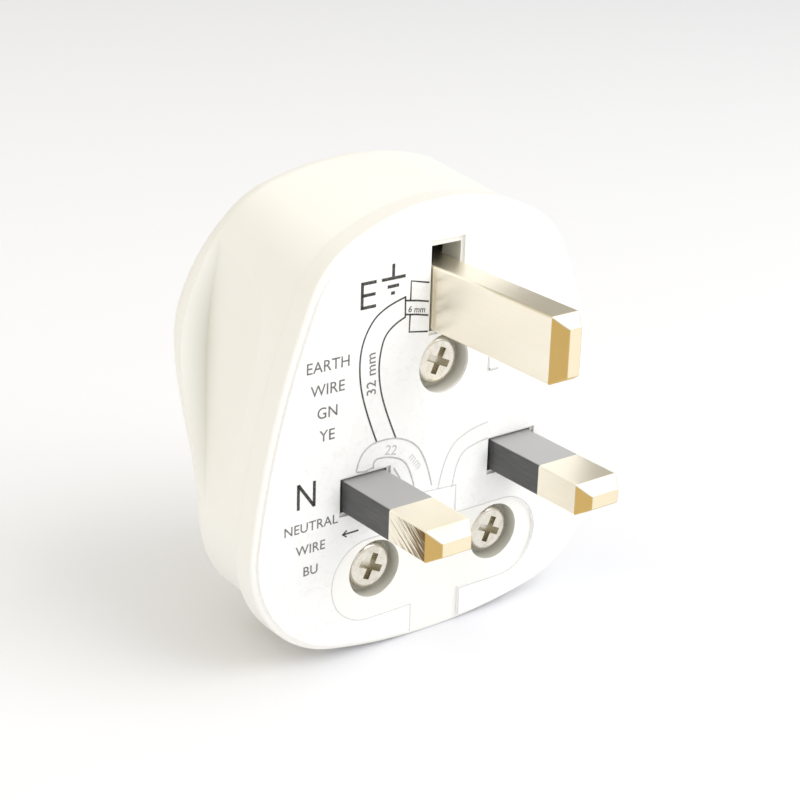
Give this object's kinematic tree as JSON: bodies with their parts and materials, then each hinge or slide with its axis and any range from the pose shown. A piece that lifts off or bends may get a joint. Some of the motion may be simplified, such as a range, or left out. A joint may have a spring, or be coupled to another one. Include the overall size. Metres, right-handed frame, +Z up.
{
  "type": "three pin mains plug",
  "caption": "Rewirable fused mains plug with rectangular brass pins, a flat pin face with a wiring card, a hollowed finger-grip cover and a cable entry below.",
  "frame": {"origin": "on the pin face, midway between the two flat pins", "axes": "+X to the right as seen from the pin side, +Y into the body away from the pins, +Z up to the earth pin"},
  "size_m": [0.0534, 0.0501, 0.0568],
  "materials": {
    "body_plastic": "smooth white moulding, slightly warm",
    "card": "white printed card",
    "brass": "bright drawn brass with fine machining marks",
    "sleeve_plastic": "black moulded sleeve",
    "screw_metal": "nickel plated steel",
    "fuse_ceramic": "unglazed ceramic tube",
    "fuse_metal": "plated fuse cap",
    "grip_plastic": "plain moulded clamp bar"
  },
  "bodies": {
    "root": {"base": "body_plastic", "cover": "body_plastic", "wiring_card": "card", "earth_pin": "brass", "neutral_pin": "brass", "line_pin": "brass", "neutral_sleeve": "sleeve_plastic", "line_sleeve": "sleeve_plastic", "fuse_tube": "fuse_ceramic", "fuse_cap_lower": "fuse_metal", "fuse_cap_upper": "fuse_metal", "fuse_clip_lower": "brass", "fuse_clip_upper": "brass", "line_terminal": "brass", "earth_terminal_screw": "brass", "neutral_terminal_screw": "brass", "line_terminal_screw": "brass", "cover_screw": "screw_metal", "cover_nut": "screw_metal", "cord_grip_bar": "grip_plastic", "cord_grip_screws": "screw_metal"}
  },
  "joints": []
}
